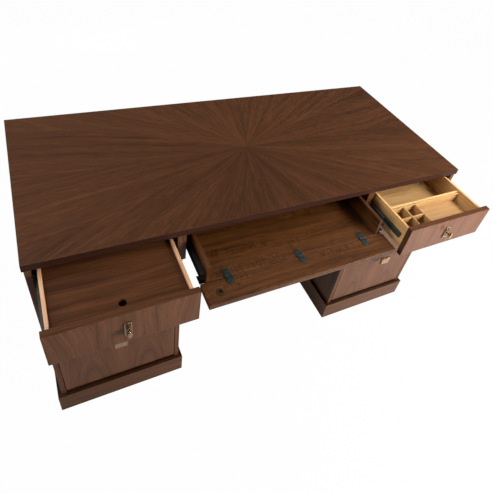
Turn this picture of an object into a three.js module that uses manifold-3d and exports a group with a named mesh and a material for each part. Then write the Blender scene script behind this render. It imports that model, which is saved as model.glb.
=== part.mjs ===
// An executive desk. Two pedestals carry a wide top. Each pedestal has a deep file drawer under a
// shallow drawer, and a tray with a fold-down front runs between them. The shallow drawers and the
// tray stand part open. Lengths are millimetres, with +X to the right, +Y to the back and +Z up.
// The desk is built from the floor and the top's front edge, and moved to its origin at the end.
import * as THREE from "three";
import { mergeVertices } from "three/addons/utils/BufferGeometryUtils.js";
import Module from "manifold-3d";

const wasm = await Module();
wasm.setup();

// Fits between pieces
const glueLine = 0.2;
const overrun = 5;
const fusedDepth = 1;

// The whole desk
const deskWidth = 1524;
const deskDepth = 680;
const deskHeight = 776;
const topThickness = 22;
const topOverhang = 4;

// The pedestals
const pedestalWidth = 413;
const panelThickness = 16;
const pedestalBackThickness = 12;
const pedestalFloorThickness = 16;
const pedestalFloorSetback = 6;
const plinthHeight = 90;
const plinthProjection = 12;
const plinthWall = 30;
const modestyThickness = 18;
const modestyClearOfFloor = 250;

// The drawers' fronts
const frontThickness = 20;
const frontSideReveal = 1.5;
const frontTopReveal = 4;
const frontRowGap = 4;
const frontBottomReveal = 12;
const upperFrontHeight = 121;

// The shallow drawers over the pedestals
const upperOpening = 204;
const upperLength = 450;
const upperWall = 9;
const upperTopDrop = 14;
const upperBottomRise = 14;
const upperFloorThickness = 6;
const upperFloorRise = 8;
const floorGroove = 4;
const floorGrooveClearance = 0.3;
const ledgeWidth = 10;
const ledgeHeight = 10;

// The left drawer's lift-out lid
const lidThickness = 10;
const lidDrop = 9;
const looseFit = 1;
const fingerHoleRadius = 10.5;
const fingerHoleSetback = 30;

// The right drawer's partition and pencil tray
const partitionThickness = 8;
const partitionDrop = 8;
const pencilBayDepth = 112;
const pencilTrayHeight = 42;
const pencilTrayDrop = 9;
const pencilWall = 4;
const pencilFloor = 5;
const pencilBackGap = 3;
const smallCellWidth = 50;

// The file drawers
const fileLength = 450;
const fileWall = 14;
const fileFloorThickness = 10;
const fileBoxHeight = 320;
const fileBoxRise = 18;
const runnerHeight = 20;
const runnerReach = 5;
const runnerFit = 0.4;
const runnerRise = 60;
const runnerSetback = 22;
const runnerStop = 20;

// The tray between the pedestals and the rails that carry it
const hangerThickness = 10;
const hangerHeight = 109;
const hangerLength = 470;
const trayOpening = 144.5;
const trayDrop = 86;
const trayBoardThickness = 18;
const trayLength = 470;
const traySideThickness = 12;
const traySideHeight = 62;
const traySideSetback = 5;
const flapThickness = 20;
const flapSideGap = 2;

// The flap's hinges
const hingePlaceShares = [-0.78, 0, 0.78];
const leafLength = 30;
const leafWidth = 22;
const leafThickness = 1.5;
const knuckleRadius = 3;
const pivotRise = 3.5;
const centreKnuckleWidth = 9;
const knuckleGap = 0.4;
const hingeEdgeGap = 0.5;

// The catch let into the flap
const catchRadius = 12;
const catchBoreRadius = 7;
const catchDepth = 6;
const catchRim = 1;
const catchHingeGap = 20;
const catchReach = 44;

// The runners in two members
const slideSheet = 1.5;
const upperSlideHeight = 30;
const traySlideHeight = 36;
const slideLip = 5;
const slideFrontGap = 3;
const slideRunningGap = 0.5;
const upperSlideSpace = 12.5;
const upperSlideSetback = 4;
const upperMemberSetback = 20;
const traySlideSpace = 20;
const traySlideLength = 400;
const traySlideSetback = 26;
const traySlideRise = 24;
const bracketDrop = 8;
const bracketLength = 30;

// The pulls of the shallow drawers
const plateWidth = 19;
const plateHeight = 50;
const plateThickness = 3;
const stemRadius = 4;
const knobWidth = 13;
const knobHeight = 26;
const knobThickness = 9;
const knobRounding = 2.5;
const knobProjection = 24;

// The pulls of the file drawers
const tabWidth = 40;
const tabHeight = 32;
const tabThickness = 10;
const tabPostWidth = 14;
const tabPostHeight = 10;
const tabProjection = 34;
const tabRiseOverFrontBottom = 238;

// Counts of facets round the round pieces
const roundFacets = 24;
const knuckleFacets = 16;
const knobSteps = 24;
const knobRoundingSteps = 2;

// Heights and planes that several pieces share
const caseTop = deskHeight - topThickness;
const caseFront = topOverhang;
const caseBack = deskDepth - topOverhang;
const caseHalfWidth = deskWidth / 2 - topOverhang;
const bayOuter = caseHalfWidth - panelThickness;
const pedestalInner = caseHalfWidth - pedestalWidth;
const bayInner = pedestalInner + panelThickness;
const frontBack = caseFront + frontThickness;
const upperFrontTop = caseTop - frontTopReveal;
const upperFrontBottom = upperFrontTop - upperFrontHeight;
const lowerFrontTop = upperFrontBottom - frontRowGap;
const lowerFrontBottom = plinthHeight + frontBottomReveal;
const bayCentre = (bayInner + bayOuter) / 2;
const hangerFace = pedestalInner - hangerThickness;
const trayHalfWidth = hangerFace - traySlideSpace;
const boardTop = caseTop - trayDrop;
const boardBottom = boardTop - trayBoardThickness;
const pivotHeight = boardTop + pivotRise;
const pivotLine = frontBack + pivotRise - trayOpening;

function finish(colour, roughness, metalness) {
  return new THREE.MeshStandardMaterial({ color: colour, roughness, metalness });
}

const topWalnut = finish("#4b3325", 0.42, 0);
const caseWalnut = finish("#4a3022", 0.5, 0);
const frontWalnut = finish("#66483a", 0.42, 0);
const innerWalnut = finish("#5b3a22", 0.5, 0);
const paleWood = finish("#c99a5e", 0.6, 0);
const darkSteel = finish("#262b2b", 0.45, 0.8);
const hingeBronze = finish("#2d332f", 0.5, 0.7);
const pullMetal = finish("#a2937c", 0.35, 0.9);

const desk = new THREE.Group();

function place(name, geometry, material) {
  const mesh = new THREE.Mesh(geometry, material);
  mesh.name = name;
  desk.add(mesh);
  return mesh;
}

// A block between two places on each axis. An axis may be given either way round.
function blockGeometry(xs, ys, zs) {
  const low = [xs, ys, zs].map((pair) => Math.min(...pair));
  const high = [xs, ys, zs].map((pair) => Math.max(...pair));
  const size = high.map((value, axis) => value - low[axis]);
  const centre = high.map((value, axis) => (value + low[axis]) / 2);
  return new THREE.BoxGeometry(...size).translate(...centre);
}

function placeBlock(name, xs, ys, zs, material) {
  return place(name, blockGeometry(xs, ys, zs), material);
}

// Solids for cuts and joins
function toSolid(geometry) {
  const bare = geometry.clone();
  bare.deleteAttribute("normal");
  bare.deleteAttribute("uv");
  const merged = mergeVertices(bare);
  return new wasm.Manifold(new wasm.Mesh({
    numProp: 3,
    vertProperties: new Float32Array(merged.attributes.position.array),
    triVerts: new Uint32Array(merged.index.array),
  }));
}

function toGeometry(solid) {
  const mesh = solid.getMesh();
  const geometry = new THREE.BufferGeometry();
  geometry.setAttribute("position", new THREE.BufferAttribute(new Float32Array(mesh.vertProperties), 3));
  geometry.setIndex(new THREE.BufferAttribute(new Uint32Array(mesh.triVerts), 1));
  geometry.computeVertexNormals();
  return geometry;
}

function blockSolid(xs, ys, zs) {
  return toSolid(blockGeometry(xs, ys, zs));
}

function joined(solids) {
  return solids.reduce((whole, solid) => whole.add(solid));
}

function cut(body, cutters) {
  return cutters.reduce((rest, cutter) => rest.subtract(cutter), body);
}

// An outline across the desk, in x and z, run from one depth to another
function prismAlongY(points, nearY, farY) {
  const outline = new THREE.Shape(points.map(([x, z]) => new THREE.Vector2(x, z)));
  const geometry = new THREE.ExtrudeGeometry(outline, { depth: farY - nearY, bevelEnabled: false });
  return geometry.rotateX(Math.PI / 2).translate(0, farY, 0);
}

function cylinderAlongY(radius, x, z, nearY, farY) {
  const middle = (nearY + farY) / 2;
  return new THREE.CylinderGeometry(radius, radius, farY - nearY, roundFacets).translate(x, middle, z);
}

function cylinderAlongX(radius, y, z, xs) {
  const geometry = new THREE.CylinderGeometry(radius, radius, xs[1] - xs[0], knuckleFacets);
  return geometry.rotateZ(Math.PI / 2).translate((xs[0] + xs[1]) / 2, y, z);
}

function cylinderAlongZ(radius, x, y, lowZ, highZ) {
  const geometry = new THREE.CylinderGeometry(radius, radius, highZ - lowZ, roundFacets);
  return geometry.rotateX(Math.PI / 2).translate(x, y, (lowZ + highZ) / 2);
}

// The top and the tray's rails
function makeTop() {
  placeBlock("top_panel", [-deskWidth / 2, deskWidth / 2], [0, deskDepth], [caseTop, deskHeight], topWalnut);
}

function makePedestal(side, name) {
  const height = [plinthHeight + glueLine, caseTop - glueLine];
  const depth = [caseFront, caseBack];
  const bay = [side * (bayInner + glueLine), side * (bayOuter - glueLine)];
  placeBlock(`${name}_outer_side`, [side * bayOuter, side * caseHalfWidth], depth, height, caseWalnut);
  placeBlock(`${name}_inner_side`, [side * pedestalInner, side * bayInner], depth, height, caseWalnut);
  placeBlock(`${name}_pedestal_back`, bay, [caseBack - pedestalBackThickness, caseBack], height, caseWalnut);
  const floorDepth = [frontBack + pedestalFloorSetback, caseBack - pedestalBackThickness - glueLine];
  const floorHeight = [height[0], height[0] + pedestalFloorThickness];
  placeBlock(`${name}_pedestal_floor`, bay, floorDepth, floorHeight, caseWalnut);
  makePlinth(side, name);
}

function makePlinth(side, name) {
  const outer = [pedestalInner - plinthProjection, caseHalfWidth + plinthProjection];
  const depth = [caseFront - plinthProjection, caseBack + plinthProjection];
  const body = blockSolid(outer.map((x) => side * x), depth, [0, plinthHeight]);
  const hollow = blockSolid(
    [side * (outer[0] + plinthWall), side * (outer[1] - plinthWall)],
    [depth[0] + plinthWall, depth[1] - plinthWall],
    [-overrun, plinthHeight + overrun],
  );
  place(`${name}_plinth`, toGeometry(cut(body, [hollow])), caseWalnut);
}

function makeCentre() {
  const half = pedestalInner - glueLine;
  const depth = [caseBack - modestyThickness, caseBack];
  placeBlock("modesty_panel", [-half, half], depth, [modestyClearOfFloor, caseTop - glueLine], caseWalnut);
  for (const [side, name] of [[-1, "left"], [1, "right"]]) {
    placeBlock(
      `${name}_tray_hanger`,
      [side * hangerFace, side * half],
      [caseFront, caseFront + hangerLength],
      [caseTop - hangerHeight, caseTop - glueLine],
      caseWalnut,
    );
  }
}

// Runners. The cabinet's member is a channel with turned lips, and the drawer's member runs in it.
function cabinetMemberPoints(face, direction, centreZ, space, height) {
  const depth = space - slideFrontGap;
  const half = height / 2;
  const lip = half - slideLip;
  const section = [
    [0, -half], [depth, -half], [depth, -lip], [depth - slideSheet, -lip],
    [depth - slideSheet, slideSheet - half], [slideSheet, slideSheet - half],
    [slideSheet, half - slideSheet], [depth - slideSheet, half - slideSheet],
    [depth - slideSheet, lip], [depth, lip], [depth, half], [0, half],
  ];
  return section.map(([across, up]) => [face + direction * (glueLine + across), centreZ + up]);
}

function drawerMemberPoints(face, direction, centreZ, space, height) {
  const webBack = space - glueLine * 2;
  const web = webBack - slideSheet;
  const tip = slideSheet * 2;
  const half = height / 2 - slideLip - slideRunningGap;
  const section = [
    [webBack, -half], [webBack, half], [tip, half], [tip, half - slideSheet],
    [web, half - slideSheet], [web, slideSheet - half], [tip, slideSheet - half], [tip, -half],
  ];
  return section.map(([across, up]) => [face + direction * (glueLine + across), centreZ + up]);
}

// The shallow drawers share their box, floor, front, runners and pull
const upperShift = -upperOpening;
const upperBoxFront = frontBack + upperShift + glueLine;
const upperBoxBack = upperBoxFront + upperLength;
const upperBoxTop = upperFrontTop - upperTopDrop;
const upperBoxBottom = upperFrontBottom + upperBottomRise;
const upperBoxOuter = bayOuter - upperSlideSpace;
const upperBoxInner = bayInner + upperSlideSpace;
const upperFloorBottom = upperBoxBottom + upperFloorRise;
const upperFloorTop = upperFloorBottom + upperFloorThickness;
const upperMiddle = (upperFrontTop + upperFrontBottom) / 2;
const pencilBayEnd = upperBoxFront + pencilBayDepth;

function makeUpperBox(side, name, ledgeTop, ledgeEnd) {
  const inner = [side * (upperBoxInner + upperWall), side * (upperBoxOuter - upperWall)];
  const narrow = [inner[0] + side * ledgeWidth, inner[1] - side * ledgeWidth];
  const insideBack = upperBoxBack - upperWall;
  const nearEnd = upperBoxFront - overrun;
  const below = upperBoxBottom - overrun;
  const above = upperBoxTop + overrun;
  const body = blockSolid([side * upperBoxInner, side * upperBoxOuter], [upperBoxFront, upperBoxBack],
    [upperBoxBottom, upperBoxTop]);
  const cutters = [
    blockSolid(narrow, [nearEnd, insideBack], [below, above]),
    blockSolid(inner, [nearEnd, insideBack], [below, ledgeTop - ledgeHeight]),
    blockSolid(inner, [nearEnd, insideBack], [ledgeTop, above]),
  ];
  if (ledgeEnd < insideBack) {
    cutters.push(blockSolid(inner, [ledgeEnd, insideBack], [below, above]));
  }
  const grooved = [inner[0] - side * floorGroove, inner[1] + side * floorGroove];
  cutters.push(blockSolid(grooved, [nearEnd, insideBack + floorGroove],
    [upperFloorBottom - floorGrooveClearance, upperFloorTop + floorGrooveClearance]));
  place(`${name}_drawer_box`, toGeometry(cut(body, cutters)), paleWood);

  const floorX = [grooved[0] + side * floorGrooveClearance, grooved[1] - side * floorGrooveClearance];
  const floorY = [upperBoxFront, insideBack + floorGroove - floorGrooveClearance];
  placeBlock(`${name}_drawer_floor`, floorX, floorY, [upperFloorBottom, upperFloorTop], paleWood);
}

function makeUpperFront(side, name) {
  const xs = [side * (bayInner + frontSideReveal), side * (bayOuter - frontSideReveal)];
  const ys = [caseFront + upperShift, frontBack + upperShift];
  placeBlock(`${name}_drawer_front`, xs, ys, [upperFrontBottom, upperFrontTop], frontWalnut);
}

function makeUpperRunners(side, name) {
  const cabinetY = [frontBack + upperSlideSetback, frontBack + upperSlideSetback + upperLength];
  const memberY = [upperBoxFront + upperMemberSetback, upperBoxBack];
  const walls = [["inner", bayInner, side], ["outer", bayOuter, -side]];
  for (const [wall, face, direction] of walls) {
    const section = [side * face, direction, upperMiddle, upperSlideSpace, upperSlideHeight];
    const cabinet = cabinetMemberPoints(...section);
    const member = drawerMemberPoints(...section);
    place(`${name}_drawer_${wall}_rail`, prismAlongY(cabinet, ...cabinetY), darkSteel);
    place(`${name}_drawer_${wall}_slide`, prismAlongY(member, ...memberY), darkSteel);
  }
}

// A plate, a stem and an oval knob in one piece
function makeKnobPull(side, name) {
  const x = side * bayCentre;
  const face = caseFront + upperShift - glueLine;
  const plateFront = face - plateThickness;
  const knobFront = face - knobProjection;
  const knobBack = knobFront + knobThickness;
  const plate = blockSolid([x - plateWidth / 2, x + plateWidth / 2], [plateFront, face],
    [upperMiddle - plateHeight / 2, upperMiddle + plateHeight / 2]);
  const stem = toSolid(cylinderAlongY(stemRadius, x, upperMiddle, knobBack - fusedDepth, plateFront + fusedDepth));
  const outline = new THREE.Shape();
  outline.absellipse(0, 0, knobWidth / 2 - knobRounding, knobHeight / 2 - knobRounding, 0, Math.PI * 2);
  const oval = new THREE.ExtrudeGeometry(outline, {
    depth: knobThickness - knobRounding * 2,
    bevelThickness: knobRounding,
    bevelSize: knobRounding,
    bevelSegments: knobRoundingSteps,
    curveSegments: knobSteps,
  });
  oval.rotateX(Math.PI / 2).translate(x, knobBack - knobRounding, upperMiddle);
  place(`${name}_drawer_pull`, toGeometry(joined([plate, stem, toSolid(oval)])), pullMetal);
}

function makeLid() {
  const lidTop = upperBoxTop - lidDrop;
  const inset = upperWall + looseFit;
  const nearY = upperBoxFront + looseFit;
  const board = blockSolid([-(upperBoxInner + inset), -(upperBoxOuter - inset)],
    [nearY, upperBoxBack - inset], [lidTop - lidThickness, lidTop]);
  const hole = cylinderAlongZ(fingerHoleRadius, -bayCentre, nearY + fingerHoleSetback,
    lidTop - lidThickness - overrun, lidTop + overrun);
  place("left_drawer_lid", toGeometry(cut(board, [toSolid(hole)])), innerWalnut);
}

function makePartition() {
  const inset = upperWall + glueLine;
  placeBlock("right_drawer_partition", [upperBoxInner + inset, upperBoxOuter - inset],
    [pencilBayEnd, pencilBayEnd + partitionThickness],
    [upperFloorTop + glueLine, upperBoxTop - partitionDrop], paleWood);
}

// The pencil tray has four small cells at its left and one long cell
function makePencilTray() {
  const inset = upperWall + looseFit;
  const xs = [upperBoxInner + inset, upperBoxOuter - inset];
  const ys = [upperBoxFront + looseFit, pencilBayEnd - pencilBackGap];
  const top = upperBoxTop - pencilTrayDrop;
  const zs = [top - pencilTrayHeight, top];
  const cellDepth = (ys[1] - ys[0] - pencilWall * 3) / 2;
  const cellZ = [zs[0] + pencilFloor, top + overrun];
  const cells = [];
  for (const column of [0, 1]) {
    for (const row of [0, 1]) {
      const x = xs[0] + pencilWall + column * (smallCellWidth + pencilWall);
      const y = ys[0] + pencilWall + row * (cellDepth + pencilWall);
      cells.push(blockSolid([x, x + smallCellWidth], [y, y + cellDepth], cellZ));
    }
  }
  const longStart = xs[0] + pencilWall * 3 + smallCellWidth * 2;
  cells.push(blockSolid([longStart, xs[1] - pencilWall], [ys[0] + pencilWall, ys[1] - pencilWall], cellZ));
  place("pencil_tray", toGeometry(cut(blockSolid(xs, ys, zs), cells)), paleWood);
}

// A file drawer runs on two hardwood runners that fit grooves in its sides
function makeFileDrawer(side, name) {
  const fronts = [side * (bayInner + frontSideReveal), side * (bayOuter - frontSideReveal)];
  placeBlock(`${name}_file_front`, fronts, [caseFront, frontBack], [lowerFrontBottom, lowerFrontTop], frontWalnut);

  const boxX = [bayInner + upperSlideSpace, bayOuter - upperSlideSpace];
  const boxY = [frontBack + glueLine, frontBack + glueLine + fileLength];
  const boxZ = [lowerFrontBottom + fileBoxRise, lowerFrontBottom + fileBoxRise + fileBoxHeight];
  const runnerZ = [boxZ[0] + runnerRise, boxZ[0] + runnerRise + runnerHeight];
  const grooveZ = [runnerZ[0] - runnerFit, runnerZ[1] + runnerFit];
  const grooveY = [boxY[0] + runnerStop, boxY[1] + overrun];
  const inside = blockSolid([side * (boxX[0] + fileWall), side * (boxX[1] - fileWall)],
    [boxY[0] + fileWall, boxY[1] - fileWall], [boxZ[0] + fileFloorThickness, boxZ[1] + overrun]);
  const cutters = [
    inside,
    blockSolid([side * (boxX[0] - overrun), side * (boxX[0] + runnerReach)], grooveY, grooveZ),
    blockSolid([side * (boxX[1] - runnerReach), side * (boxX[1] + overrun)], grooveY, grooveZ),
  ];
  const body = blockSolid(boxX.map((x) => side * x), boxY, boxZ);
  place(`${name}_file_box`, toGeometry(cut(body, cutters)), paleWood);

  const runnerY = [frontBack + runnerSetback, boxY[1]];
  const tipInner = boxX[0] + runnerReach - runnerFit;
  const tipOuter = boxX[1] - runnerReach + runnerFit;
  placeBlock(`${name}_file_inner_runner`, [side * (bayInner + glueLine), side * tipInner], runnerY, runnerZ, paleWood);
  placeBlock(`${name}_file_outer_runner`, [side * (bayOuter - glueLine), side * tipOuter], runnerY, runnerZ, paleWood);
  makeTabPull(side, name);
}

function makeTabPull(side, name) {
  const x = side * bayCentre;
  const z = lowerFrontBottom + tabRiseOverFrontBottom;
  const face = caseFront - glueLine;
  const tabFront = face - tabProjection;
  const post = blockSolid([x - tabPostWidth / 2, x + tabPostWidth / 2],
    [tabFront + tabThickness - fusedDepth, face], [z - tabPostHeight / 2, z + tabPostHeight / 2]);
  const tab = blockSolid([x - tabWidth / 2, x + tabWidth / 2], [tabFront, tabFront + tabThickness],
    [z - tabHeight / 2, z + tabHeight / 2]);
  place(`${name}_file_pull`, toGeometry(joined([post, tab])), pullMetal);
}

// The tray's board, its low sides and back
function makeTray() {
  const boardFront = pivotLine + hingeEdgeGap;
  const boardBack = boardFront + trayLength;
  const sideZ = [boardTop + glueLine, boardTop + glueLine + traySideHeight];
  const sideFront = pivotLine + traySideSetback;
  const innerFace = trayHalfWidth - traySideThickness;
  placeBlock("tray_board", [-trayHalfWidth, trayHalfWidth], [boardFront, boardBack], [boardBottom, boardTop],
    innerWalnut);
  for (const [side, name] of [[-1, "left"], [1, "right"]]) {
    placeBlock(`tray_${name}_side`, [side * innerFace, side * trayHalfWidth], [sideFront, boardBack], sideZ,
      innerWalnut);
    makeTrayRunner(side, name, sideFront);
  }
  const backX = innerFace - glueLine;
  placeBlock("tray_back", [-backX, backX], [boardBack - traySideThickness, boardBack], sideZ, innerWalnut);
}

// The tray's runner members, the drawer's one with a bracket turned out under it
function makeTrayRunner(side, name, sideFront) {
  const centreZ = boardTop + traySlideRise;
  const cabinetY = [caseFront + traySlideSetback, caseFront + traySlideSetback + traySlideLength];
  const section = [side * hangerFace, -side, centreZ, traySlideSpace, traySlideHeight];
  const cabinet = cabinetMemberPoints(...section);
  const member = drawerMemberPoints(...section);
  place(`tray_${name}_rail`, prismAlongY(cabinet, ...cabinetY), darkSteel);

  const webX = [side * (trayHalfWidth + glueLine), side * (trayHalfWidth + glueLine + slideSheet)];
  const flangeX = [webX[0], side * (hangerFace - flapSideGap)];
  const bracketY = [sideFront, sideFront + bracketLength];
  const bracketBottom = boardTop - bracketDrop;
  const web = blockSolid(webX, bracketY, [bracketBottom, centreZ]);
  const flange = blockSolid(flangeX, bracketY, [bracketBottom, bracketBottom + slideSheet]);
  const channel = toSolid(prismAlongY(member, sideFront, sideFront + traySlideLength));
  place(`tray_${name}_slide`, toGeometry(joined([channel, web, flange])), darkSteel);
}

// The flap that folds down level with the tray. Raised, it closes the front up to the drawers' tops.
function makeFlap() {
  const half = hangerFace - flapSideGap;
  const length = upperFrontTop - pivotHeight - hingeEdgeGap;
  const back = pivotLine - hingeEdgeGap;
  const board = blockSolid([-half, half], [back - length, back], [boardTop - flapThickness, boardTop]);
  const x = hingePlaceShares[0] * trayHalfWidth - leafWidth / 2 - catchHingeGap - catchRadius;
  const y = pivotLine - catchReach;
  const pocket = cylinderAlongZ(catchRadius + glueLine, x, y, boardTop - catchDepth - glueLine, boardTop + overrun);
  place("drop_front", toGeometry(cut(board, [toSolid(pocket)])), innerWalnut);

  const ring = toSolid(cylinderAlongZ(catchRadius, x, y, boardTop - catchDepth, boardTop + catchRim));
  const bore = toSolid(cylinderAlongZ(catchBoreRadius, x, y, boardTop - catchDepth + catchRim, boardTop + overrun));
  place("drop_front_catch", toGeometry(cut(ring, [bore])), hingeBronze);
}

// A leaf with a round end and its knuckles. Its direction is 1 on the tray and -1 on the flap.
function leafGeometry(centreX, direction, knuckleSpans) {
  const endCentre = leafLength - leafWidth / 2;
  const root = knuckleRadius + knuckleGap;
  const outline = new THREE.Shape();
  outline.moveTo(-leafWidth / 2, root);
  outline.lineTo(leafWidth / 2, root);
  outline.lineTo(leafWidth / 2, endCentre);
  outline.absarc(0, endCentre, leafWidth / 2, 0, Math.PI, false);
  const plate = new THREE.ExtrudeGeometry(outline, {
    depth: leafThickness,
    bevelEnabled: false,
    curveSegments: knuckleFacets,
  });
  if (direction < 0) {
    plate.rotateZ(Math.PI);
  }
  plate.translate(centreX, pivotLine, boardTop + glueLine);
  const parts = [toSolid(plate)];
  const plateZ = [boardTop + glueLine, boardTop + glueLine + leafThickness];
  for (const [from, to] of knuckleSpans) {
    const xs = [centreX + from, centreX + to];
    parts.push(toSolid(cylinderAlongX(knuckleRadius, pivotLine, pivotHeight, xs)));
    parts.push(blockSolid(xs, [pivotLine, pivotLine + direction * (root + fusedDepth)], plateZ));
  }
  return toGeometry(joined(parts));
}

function makeHinges() {
  const outer = leafWidth / 2;
  const inner = centreKnuckleWidth / 2;
  hingePlaceShares.forEach((share, index) => {
    const x = share * trayHalfWidth;
    const trayKnuckles = [[-outer, -inner - knuckleGap], [inner + knuckleGap, outer]];
    place(`hinge_${index + 1}_tray_leaf`, leafGeometry(x, 1, trayKnuckles), hingeBronze);
    place(`hinge_${index + 1}_flap_leaf`, leafGeometry(x, -1, [[-inner, inner]]), hingeBronze);
  });
}

makeTop();
makeCentre();
makeTray();
makeFlap();
makeHinges();
for (const [side, name] of [[-1, "left"], [1, "right"]]) {
  makePedestal(side, name);
  makeUpperFront(side, name);
  makeUpperRunners(side, name);
  makeKnobPull(side, name);
  makeFileDrawer(side, name);
}
makeUpperBox(-1, "left", upperBoxTop - lidDrop - lidThickness - glueLine, upperBoxBack);
makeUpperBox(1, "right", upperBoxTop - pencilTrayDrop - pencilTrayHeight - glueLine, pencilBayEnd);
makeLid();
makePartition();
makePencilTray();

// The origin is on the floor, under the middle of the whole desk as it stands
const frontmost = caseFront + upperShift - glueLine - knobProjection;
const rearmost = caseBack + plinthProjection;
desk.position.y = -(frontmost + rearmost) / 2;

export default desk;
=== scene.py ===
import itertools
import math

import bmesh
import bpy
from mathutils import Matrix, Vector
from mathutils.geometry import tessellate_polygon


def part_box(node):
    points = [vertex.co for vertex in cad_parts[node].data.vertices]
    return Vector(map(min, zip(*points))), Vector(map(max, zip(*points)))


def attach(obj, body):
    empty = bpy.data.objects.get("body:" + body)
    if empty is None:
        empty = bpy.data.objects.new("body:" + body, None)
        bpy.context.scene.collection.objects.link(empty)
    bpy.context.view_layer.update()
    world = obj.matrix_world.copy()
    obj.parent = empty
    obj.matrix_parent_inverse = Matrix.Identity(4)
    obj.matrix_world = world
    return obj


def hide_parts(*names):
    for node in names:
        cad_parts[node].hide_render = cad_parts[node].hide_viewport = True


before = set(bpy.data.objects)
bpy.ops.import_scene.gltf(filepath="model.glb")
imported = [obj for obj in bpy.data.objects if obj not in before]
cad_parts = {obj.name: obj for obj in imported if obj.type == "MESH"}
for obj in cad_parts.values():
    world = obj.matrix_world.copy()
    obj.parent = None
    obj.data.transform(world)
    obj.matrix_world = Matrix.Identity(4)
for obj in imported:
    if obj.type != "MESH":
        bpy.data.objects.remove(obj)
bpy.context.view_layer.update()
mm = 0.001
print("frame loaded:", len(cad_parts), "nodes")


def linearColour(hexCode):
    parts = [int(hexCode[i:i + 2], 16) / 255 for i in (1, 3, 5)]
    return tuple(c / 12.92 if c <= 0.04045 else ((c + 0.055) / 1.055) ** 2.4 for c in parts) + (1.0,)


# adds a node, its settings and its inputs: an input is a value, or a node or socket to link to
def addNode(tree, kind, inputs=None, stops=None, **settings):
    node = tree.nodes.new("ShaderNode" + kind)
    for key, value in settings.items():
        setattr(node, key, value)
    for key, value in (inputs or {}).items():
        if isinstance(value, bpy.types.Node):
            value = next(output for output in value.outputs if output.enabled)
        if isinstance(value, bpy.types.NodeSocket):
            tree.links.new(value, node.inputs[key])
        else:
            node.inputs[key].default_value = value
    if stops:
        elements = node.color_ramp.elements
        elements.remove(elements[1])
        for i, (place, colour) in enumerate(stops):
            element = elements[0] if i == 0 else elements.new(place)
            element.position = place
            element.color = linearColour(colour)
    return node


def newMaterial(name):
    material = bpy.data.materials.new(name)
    material.use_nodes = True
    material.node_tree.nodes.clear()
    return material, material.node_tree


# Woods. Every wooden corner carries "grain": metres along the grain, across it and through the board.
# Pattern sizes are width and length in mm. Real walnut pores are 0.2 mm wide, so they are drawn coarser.

# American walnut veneer under satin lacquer: brown with darker growth lines and fine short pores
walnut = {
    "colours": [(0.0, "#2c180c"), (0.3, "#432816"), (0.5, "#52321e"), (0.7, "#5e3c26"), (1.0, "#704a31")],
    "wander": (60, 330), "wanderBy": 9, "ring": 9, "ringLoose": 2.6, "ringDepth": 0.16,
    "streak": (10, 480), "streakDepth": 0.42, "fibre": (2.4, 90), "fibreDepth": 0.45,
    "pore": (1.1, 14), "poreDepth": 0.3, "poreColour": "#1d0f07",
    "tone": (70, 420), "toneRange": (0.9, 1.1),
    "roughness": (0.38, 0.5), "bump": 0.12, "specular": 0.2, "coat": 0.35, "coatRoughness": 0.06,
}
# hard maple, clear coated: pale cream with thin tan lines
maple = {
    "colours": [(0.0, "#9f6e3c"), (0.3, "#b68651"), (0.55, "#c79c65"), (0.8, "#d3ac78"), (1.0, "#dbba88")],
    "wander": (50, 300), "wanderBy": 6, "ring": 9, "ringLoose": 2.4, "ringDepth": 0.12,
    "streak": (10, 300), "streakDepth": 0.35, "fibre": (1.8, 40), "fibreDepth": 0.25,
    "pore": (0.9, 8), "poreDepth": 0.12, "poreColour": "#8f6437",
    "tone": (70, 300), "toneRange": (0.95, 1.05),
    "roughness": (0.45, 0.6), "bump": 0.1, "specular": 0.4, "coat": 0.1, "coatRoughness": 0.3,
}
# how the woods' noises are drawn: their detail, and the span of noise that each one spreads out
woodNoise = {
    "detail": {"wander": 2.0, "streak": 4.0, "fibre": 2.0, "pore": 1.0, "tone": 2.0, "ripple": 2.0,
               "curl": 1.0},
    "span": {"wander": (0.25, 0.75), "streak": (0.3, 0.7), "fibre": (0.3, 0.7), "pore": (0.58, 0.7),
             "tone": (0.32, 0.68), "ripple": (0.38, 0.62), "curl": (0.48, 0.62)},
    "roughness": 0.55, "fibreMiddle": 0.5, "ringMiddle": 0.2, "reliefHeight": 0.3,
    "ringStops": [(0.0, "#000000"), (0.55, "#303030"), (0.9, "#ffffff"), (1.0, "#000000")],
}


# A leaf pattern takes the grain's three parts, and returns them with a level of brightness or none.

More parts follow.
